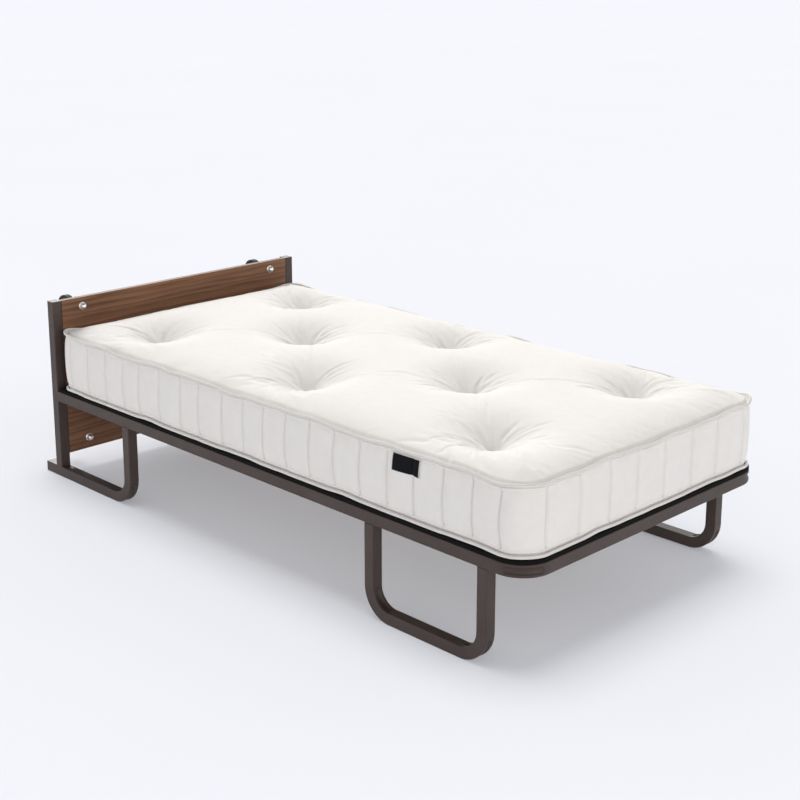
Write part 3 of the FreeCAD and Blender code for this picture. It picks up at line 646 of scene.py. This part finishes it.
def outward(rim):
    """Unit normals of a closed plan outline, pointing out."""
    tangent = np.roll(rim[:, :2], -1, 0) - np.roll(rim[:, :2], 1, 0)
    tangent /= np.linalg.norm(tangent, axis=1, keepdims=True)
    return np.stack([tangent[:, 1], -tangent[:, 0]], -1)


def bearing(plan):
    """Angle of each point about the mattress's middle, on a plan squeezed to a square."""
    return np.arctan2(plan[..., 1] / HALF_WIDTH, plan[..., 0] / HALF_LENGTH)


def share_round(rim):
    """Each rim point's distance round, as a share, counted from the first corner's middle."""
    steps = np.linalg.norm(np.roll(rim[:, :2], -1, 0) - rim[:, :2], axis=1)
    return np.concatenate([[0.0], np.cumsum(steps)[:-1]]) / steps.sum()


def length_round(rim):
    """Length of a closed plan outline."""
    return np.linalg.norm(np.roll(rim[:, :2], -1, 0) - rim[:, :2], axis=1).sum()


def border_ring(rim, low, normals, share, lines, fraction):
    """One ring of the border, at a fraction of the way down from the upper seam to the lower."""
    height = rim[:, 2] + (low - rim[:, 2]) * fraction
    from_top = (rim[:, 2] - low) * fraction
    from_low = (rim[:, 2] - low) * (1 - fraction)
    clear = smooth_step(0.008, 0.020, from_top) * smooth_step(0.008, 0.020, from_low)
    bow = math.sin(math.pi * fraction)
    sway = ripple(share, [(0.0030, 8, 0.9), (0.0020, 19, 2.2)])
    lean = 0.0016 * math.sin(2.2 * math.pi * fraction + 0.5) + bow * sway
    uneven = ripple(share, [(0.0011, 31, 0.7), (0.0008, 57, 2.9)]) * bow
    channels = clear * channel_profile(share, lines, length_round(rim))
    out = tape_profile(from_top) + tape_profile(from_low) + channels + BULGE * bow ** 0.7 + uneven
    tangents = np.stack([-normals[:, 1], normals[:, 0]], -1)
    return np.column_stack([rim[:, :2] + normals * out[:, None] + tangents * lean[:, None], height])


def build_mattress():
    """One closed form: wrinkled top, channelled border between two piped seams, and underside."""
    plan = plan_grid(CELL)
    rim_plan = rim_of(plan)
    wave = np.interp(bearing(plan), bearing(rim_plan), seam_wave(share_round(rim_plan)), period=2 * math.pi)
    height = shaped_top(plan) + (wave + ears(plan)) * np.exp(-edge_distance(plan) / SEAM_FADE)
    top = np.concatenate([plan, height[..., None]], -1)
    top = wrinkle(top)
    top = refine(top)
    from_groove = (edge_distance(top) - SEAM_GROOVE_IN) / SEAM_GROOVE_WIDTH
    top[..., 2] += crease_fans(top) - SEAM_GROOVE * np.exp(-from_groove ** 2)
    top += (MIDDLE.x, MIDDLE.y, TOP_SEAM)
    rim = rim_of(top)
    count = len(rim)
    normals = outward(rim)
    share = share_round(rim)
    line_points = stitch_lines(rim)
    lines = share[line_points]
    low = LOW_SEAM + low_seam_wave(share)
    vertices = [top.reshape(-1, 3)]
    total = len(vertices[0])
    loops = [rim_of(np.arange(total).reshape(*top.shape[:2], 1))[:, 0]]
    rings = [border_ring(rim, low, normals, share, lines, fraction) for fraction in border_rows()[1:]]
    border = np.stack(rings)
    last = rings[-1]
    under = mattress_low.z + UNDERSIDE_GAP
    # (in from the border, share of the way down) of the rings that turn under to the underside
    for inset, drop in ((0.003, 0.6), (0.008, 0.9), (0.020, 1.0), (0.060, 1.0)):
        height = last[:, 2] + (under - last[:, 2]) * drop
        rings.append(np.column_stack([last[:, :2] - normals * inset, height]))
    for ring in rings:
        vertices.append(ring)
        loops.append(np.arange(total, total + count))
        total += count
    vertices.append(np.array([[MIDDLE.x, MIDDLE.y, under]]))
    faces = [tuple(face) for face in grid_faces(*top.shape[:2])[:, ::-1]]
    for upper, lower in zip(loops, loops[1:]):
        faces += list(zip(upper, lower, np.roll(lower, -1), np.roll(upper, -1)))
    faces += [(a, total, b) for a, b in zip(loops[-1], np.roll(loops[-1], -1))]
    mattress = new_object("mattress_filled", np.concatenate(vertices), faces)
    on_bed(mattress, "mattress_ticking", TICKING, "mattress")
    build_border_stitching(border[:, line_points], normals[line_points])
    return mattress, top, rim, low, normals


def build_border_stitching(lines, normals):
    """Lock stitches of thick thread down each of the border's stitch lines: lines are (rows, lines, 3)."""
    stitch, gap, radius, sides = 0.0065, 0.0015, 0.0007, 6
    first_depth = 0.004
    # (share of a stitch's length, thickness, lift in radii) of its sections: it dives in at both ends
    sections = ((0.0, 0.3, -0.6), (0.15, 0.9, 0.5), (0.5, 1.0, 0.9), (0.85, 0.9, 0.5), (1.0, 0.3, -0.6))
    last = len(sections) - 1
    turns = np.arange(sides) * 2 * math.pi / sides
    vertices, faces = [], []
    for number in range(lines.shape[1]):
        path = lines[2:-2, number]
        out = np.array([*normals[number], 0.0])
        depth = path[0, 2] - path[:, 2]
        for start in np.arange(first_depth, depth[-1] - stitch, stitch + gap):
            first = len(vertices)
            for along, swell, lift in sections:
                place_down = start + along * stitch
                centre = np.array([np.interp(place_down, depth, path[:, axis]) for axis in range(3)])
                across = np.array([-out[1], out[0], 0.0])
                for turn in turns:
                    offset = across * math.cos(turn) + out * math.sin(turn)
                    vertices.append(centre + out * radius * lift + offset * radius * swell)
            for ring in range(last):
                for k in range(sides):
                    a, b = first + ring * sides + k, first + ring * sides + (k + 1) % sides
                    faces.append((a, a + sides, b + sides, b))
            faces.append(tuple(first + k for k in range(sides)))
            faces.append(tuple(first + last * sides + k for k in range(sides))[::-1])
    # the thread's grey is painted shade along the stitch lines
    on_bed(new_object("border_stitching", vertices, faces), "mattress_ticking", THREAD_PAINTED_SHADE)


def tube_round(name, path, radius, sides=10):
    """A closed cord of round section along a closed path."""
    ahead = np.roll(path, -1, 0) - np.roll(path, 1, 0)
    ahead /= np.linalg.norm(ahead, axis=1, keepdims=True)
    side = np.cross(ahead, (0.0, 0.0, 1.0))
    side /= np.linalg.norm(side, axis=1, keepdims=True)
    up = np.cross(side, ahead)
    turns = np.arange(sides) * 2 * math.pi / sides
    rings = (path[:, None] + radius * (np.cos(turns)[None, :, None] * side[:, None]
                                       + np.sin(turns)[None, :, None] * up[:, None]))
    return new_object(name, rings.reshape(-1, 3), grid_faces(len(path), sides, closed=True, looped=True))


def build_piping(rim, low, normals):
    """Corded piping sewn into both seams."""
    above, below = 0.0008, 0.0002
    for name, heights in (("piping_upper", rim[:, 2] + above), ("piping_lower", low - below)):
        path = np.column_stack([rim[:, :2] + normals * (SEAM_INSET - CORD), heights])
        on_bed(tube_round(name, path, CORD), "mattress_ticking", PIPING)


def build_tufts(top):
    """A tuft of loose wool loops, sewn down in the bottom of each dimple."""
    random = np.random.default_rng(3)
    vertices, faces = [], []
    strands, golden_angle = 46, 2.399963
    ground_radius = 0.0145             # where a tuft's height would run out
    sides, thickness = 5, 0.0011 * np.array([1, 1.1, 1.1, 1.0, 0.9, 0.7, 0.35])
    steps = len(thickness)
    up = np.array([0, 0, 1.0])
    flat = top.reshape(-1, 3)
    for x, y in TUFTS:
        place_x, place_y = MIDDLE.x + x, MIDDLE.y + y
        nearby = np.hypot(flat[:, 0] - place_x, flat[:, 1] - place_y) < 0.012
        base = flat[nearby, 2].mean()
        for strand in range(strands):
            heading = golden_angle * strand + random.uniform(-0.2, 0.2)
            reach = TUFT_RADIUS * math.sqrt((strand + 0.5) / strands) * random.uniform(0.85, 1.1)
            rise = TUFT_HEIGHT * (1 - (reach / ground_radius) ** 2) + random.uniform(0, 0.0015)
            along = np.linspace(0, 1, steps)
            curl = heading + random.uniform(-0.7, 0.7) * along
            out = reach * (0.15 + 0.85 * along)
            path = np.column_stack([place_x + out * np.cos(curl), place_y + out * np.sin(curl),
                                    base + 0.001 + rise * np.sin(along * 2.6)])
            first = len(vertices)
            across = np.array([-math.sin(heading), math.cos(heading), 0.0])
            for point, size in zip(path, thickness):
                for turn in np.arange(sides) * 2 * math.pi / sides:
                    vertices.append(point + size * (math.cos(turn) * across + math.sin(turn) * up))
            for ring in range(steps - 1):
                for k in range(sides):
                    a, b = first + ring * sides + k, first + ring * sides + (k + 1) % sides
                    faces.append((a, b, b + sides, a + sides))
            faces.append(tuple(first + k for k in range(sides))[::-1])
            faces.append(tuple(first + (steps - 1) * sides + k for k in range(sides)))
    on_bed(new_object("mattress_tufts", vertices, faces), "mattress_ticking", wool())


def build_label(mattress):
    """The blank label: a thin cloth patch that follows the border, its lower edge lifting a little."""
    low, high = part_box("mattress_label")
    columns, rows, thick, clearance = 26, 14, 0.0009, 0.0003
    spanned = 0.35                     # share of the border's hollows that the label spans
    border = BVHTree.FromObject(mattress, bpy.context.evaluated_depsgraph_get())
    outer = np.empty((columns, rows, 3))
    for i, x in enumerate(np.linspace(low.x, high.x, columns)):
        for k, z in enumerate(np.linspace(high.z, low.z, rows)):
            hit = border.ray_cast(Vector((x, low.y - 0.05, z)), Vector((0, 1, 0)))[0]
            outer[i, k] = (x, hit.y, z)
    across = np.linspace(0, 1, columns)[:, None]
    down = np.linspace(0, 1, rows)[None, :]
    flatter = (outer[..., 1].mean() - outer[..., 1]) * spanned
    lift = thick + clearance + 0.0012 * down * (0.5 + 0.5 * np.sin(across * 5.2 + 0.6))
    lift = lift + 0.0016 * across ** 3 * down
    outer[..., 1] = np.minimum(outer[..., 1], outer[..., 1] + flatter) - lift
    outer[..., 2] += 0.0012 * np.sin(across * 3.0)
    vertices = np.concatenate([outer.reshape(-1, 3), (outer + (0, thick, 0)).reshape(-1, 3)])
    count = columns * rows
    quads = grid_faces(columns, rows)
    loop = rim_of(np.arange(count).reshape(columns, rows, 1))[:, 0]
    faces = [tuple(quad) for quad in quads] + [tuple(quad[::-1] + count) for quad in quads]
    faces += [(a, b, b + count, a + count) for a, b in zip(loop, np.roll(loop, -1))]
    label = new_object("border_label", vertices, faces)
    on_bed(label, "label_weave", label_cloth(), "mattress_label")


# ---------------------------------------------------------------- deck cover and straps
def rounded_outline(low, high, radii, steps=14):
    """A closed rounded rectangle in plan, anticlockwise, with its own radius at each corner."""
    centres = [(low[0], low[1], 1, 1, 180), (high[0], low[1], -1, 1, 270),
               (high[0], high[1], -1, -1, 0), (low[0], high[1], 1, -1, 90)]
    points = []
    for (x, y, sign_x, sign_y, first), radius in zip(centres, radii):
        for step in range(steps + 1):
            turn = math.radians(first + 90 * step / steps)
            points.append((x + sign_x * radius + radius * math.cos(turn),
                           y + sign_y * radius + radius * math.sin(turn)))
    return np.array(points)


def spread_points(outline, spacing):
    """The outline again, with points evenly spaced round it."""
    closed = np.concatenate([outline, outline[:1]])
    steps = np.linalg.norm(np.diff(closed, axis=0), axis=1)
    distance = np.concatenate([[0.0], np.cumsum(steps)])
    count = int(distance[-1] / spacing)
    wanted = np.arange(count) * distance[-1] / count
    return np.column_stack([np.interp(wanted, distance, closed[:, axis]) for axis in (0, 1)])


def build_deck_cover():
    """Black felt stretched over the slats and turned down round the edge of the deck."""
    head_corner, spacing = 0.010, 0.010
    radii = [head_corner, FOOT_CORNER, FOOT_CORNER, head_corner]
    outline = rounded_outline((deck_low.x, deck_low.y), (deck_high.x, deck_high.y), radii)
    rim = spread_points(outline, spacing)
    normals = outward(np.column_stack([rim, np.zeros(len(rim))]))
    share = share_round(rim)
    slack = ripple(share, [(0.0006, 37, 0.4), (0.0004, 83, 2.2)])
    # (in from the deck's edge, down from its top) of the rings of the cover's outer and inner faces
    outer = ((0.0006, HEM), (0.0002, 0.0070), (0.0, 0.0030),
             (0.0008, 0.0008), (0.0026, 0.0002), (0.012, 0.0001))
    inner = ((0.012, 0.0018), (0.0026, 0.0022), (0.0022, 0.0012), (0.0020, 0.0070), (0.0022, HEM))
    held_to = 0.002                    # the felt is slack only below this depth
    rings = []
    for inset, drop in outer:
        out = -inset + slack * (drop > held_to)
        rings.append(np.column_stack([rim + normals * out[:, None], np.full(len(rim), deck_high.z - drop)]))
    for inset, drop in inner:
        rings.append(np.column_stack([rim - normals * inset, np.full(len(rim), deck_high.z - drop)]))
    loops = [np.arange(len(rim)) + len(rim) * number for number in range(len(rings))]
    last_outer = len(outer) - 1
    faces = []
    for number, (a, b) in enumerate(zip(loops, loops[1:] + loops[:1])):
        if number != last_outer:
            faces += list(zip(a, np.roll(a, -1), np.roll(b, -1), b))
    faces.append(tuple(loops[last_outer]))
    faces.append(tuple(loops[last_outer + 1][::-1]))
    cover = new_object("deck_cover_felt", np.concatenate(rings), faces)
    on_bed(cover, "deck_felt", felt(), "deck_cover")


def build_straps():
    """Each half of the stowed strap: from its bolt on the rail to the buckle's bar, round it, sewn back."""
    for name, side in (("left", 1.0), ("right", -1.0)):
        low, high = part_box(f"strap_{name}")
        thick = STRAP_THICK
        middle = (low.x + high.x) / 2
        rail = high.y if side > 0 else -low.y
        run_z = high.z - 0.00425
        bar_in = low.y if side > 0 else -high.y
        # (distance from the bed's middle, height): up the rail, across, over the buckle's bar and back
        path = [(rail - thick / 2, low.z), (rail - thick / 2, run_z - 0.004),
                (rail - 0.0022, run_z - 0.0012), (rail - 0.005, run_z),
                (bar_in + 0.0115, run_z), (bar_in + 0.0055, run_z + 0.0034),
                (bar_in + 0.0020, run_z + 0.0036), (bar_in + thick / 2, run_z + 0.0022),
                (bar_in + thick / 2, run_z - 0.0008), (bar_in + 0.0020, run_z - 0.0022),
                (bar_in + 0.0055, run_z - 0.0024), (bar_in + 0.0115, run_z - 0.0016),
                (bar_in + 0.0505, run_z - 0.0016)]
        dense = []
        for start, end in zip(path, path[1:]):
            count = max(1, int(math.hypot(end[0] - start[0], end[1] - start[1]) / 0.006))
            for step in range(count):
                share = step / count
                dense.append([a + (b - a) * share for a, b in zip(start, end)])
        dense.append(path[-1])
        line = np.array(dense)
        tangent = np.gradient(line, axis=0)
        tangent /= np.linalg.norm(tangent, axis=1, keepdims=True)
        normal = np.column_stack([-tangent[:, 1], tangent[:, 0]])
        # (across the strap, out from its middle in thicknesses) of its section
        section = [(-0.0125, 0.0), (-0.0119, 0.5), (-0.0060, 0.5), (0.0, 0.5), (0.0060, 0.5), (0.0119, 0.5),
                   (0.0125, 0.0), (0.0119, -0.5), (0.0, -0.5), (-0.0119, -0.5)]
        vertices = []
        for point, away in zip(line, normal):
            for x, lift in section:
                out, height = point + away * thick * lift
                vertices.append((middle + x, side * out, height))
        count = len(section)
        quads = grid_faces(len(line), count, closed=True)
        faces = [tuple(quad) for quad in quads]
        faces += [tuple(range(count))[::-1], tuple(range(len(vertices) - count, len(vertices)))]
        if side < 0:
            faces = [face[::-1] for face in faces]
        band = new_object(f"strap_band_{name}", vertices, faces)
        on_bed(band, "strap_webbing", WEBBING, f"strap_{name}")


# ---------------------------------------------------------------- floor, light and camera
# (sine of the height above the horizon, radiance) of the studio's walls and of its dimmer ceiling
SKY = ((0.42, (1.115, 1.115, 1.145)), (0.88, (0.150, 0.155, 0.165)))


def build_stage():
    """A wide pale floor, and a pale sky that dims overhead."""
    made, wire = material("studio_floor", Roughness=0.9, Specular_IOR_Level=0.2)
    clouds = noise_at(wire, place(wire, (1, 1, 1)), 0.6, 2.0)
    finish_with(wire, ramp(wire, clouds, (0.3, (0.694, 0.701, 0.719)), (0.7, (0.702, 0.709, 0.727))))
    reach = 60.0
    corners = [(-reach, -reach, 0), (reach, -reach, 0), (reach, reach, 0), (-reach, reach, 0)]
    floor = new_object("floor", corners, [(0, 1, 2, 3)])
    floor.location.z = -0.0005     # clear of the legs' undersides
    floor.data.materials.append(made)
    build_lights(floor)
    world = bpy.data.worlds.new("studio")
    world.use_nodes = True
    tree = world.node_tree
    direction = tree.nodes.new("ShaderNodeTexCoord")
    split = tree.nodes.new("ShaderNodeSeparateXYZ")
    sky = tree.nodes.new("ShaderNodeValToRGB")
    tree.links.new(direction.outputs["Generated"], split.inputs["Vector"])
    tree.links.new(split.outputs["Z"], sky.inputs["Fac"])
    tree.links.new(sky.outputs["Color"], tree.nodes["Background"].inputs["Color"])
    for element, (position, colour) in zip(sky.color_ramp.elements, SKY):
        element.position = position
        element.color = (*colour, 1.0)
    scene.world = world


def soft_sun(name, from_direction, softness, strength, colour=(1.0, 1.0, 1.0)):
    """A distant lamp so wide that its shadows are soft, shining from a direction."""
    lamp = bpy.data.lights.new(name, "SUN")
    lamp.angle = math.radians(softness)
    lamp.energy = strength
    lamp.color = colour
    made = bpy.data.objects.new(name, lamp)
    made.rotation_euler = Vector(from_direction).to_track_quat("Z", "Y").to_euler()
    scene.collection.objects.link(made)
    return made


def build_lights(floor):
    """A soft key from beyond the head's far corner, a weak fill from the foot, and the floor's lamps.

    The key and the fill leave the floor out, and two lamps from above light only the floor, so the
    bed's shadow lies close under it as in a light tent. The glow casts no shadow of its own, and
    lightens the one that the overhead lamp casts.
    """
    all_but_floor = bpy.data.collections.new("all_but_floor")
    all_but_floor.objects.link(floor)
    all_but_floor.collection_objects[0].light_linking.link_state = "EXCLUDE"
    only_floor = bpy.data.collections.new("only_floor")
    only_floor.objects.link(floor)
    for lamp in (
        soft_sun("key", (-0.66, 0.40, 0.61), 20.0, 2.85, (1.0, 0.985, 0.955)),
        soft_sun("fill", (1.0, -0.10, 0.35), 40.0, 0.38, (1.0, 0.975, 0.95)),
    ):
        lamp.light_linking.receiver_collection = all_but_floor
    overhead = soft_sun("overhead", (-0.05, 0.05, 1.0), 36.0, 1.33)
    glow = soft_sun("glow", (0.0, 0.0, 1.0), 5.0, 1.04, (0.95, 0.975, 1.04))
    glow.data.use_shadow = False
    for lamp in (overhead, glow):
        lamp.light_linking.receiver_collection = only_floor
    scene.view_settings.view_transform = "Standard"


def build_camera():
    """The photograph's view: from beyond the foot on the near side, framed with a small shift."""
    camera = bpy.data.objects.new("camera", bpy.data.cameras.new("camera"))
    camera.data.sensor_width = 36.0
    camera.data.lens = 66.26
    camera.data.shift_y = -0.12
    yaw, pitch = math.radians(135.23), math.radians(13.77)
    ahead = Vector((math.cos(yaw) * math.cos(pitch), math.sin(yaw) * math.cos(pitch), -math.sin(pitch)))
    camera.location = (2.989, -2.831, 1.645)
    camera.rotation_euler = ahead.to_track_quat("-Z", "Y").to_euler()
    scene.collection.objects.link(camera)
    scene.camera = camera


finish_cad_nodes()
mattress, top, rim, low, normals = build_mattress()
build_piping(rim, low, normals)
build_tufts(top)
build_label(mattress)
build_deck_cover()
build_straps()
build_stage()
build_camera()
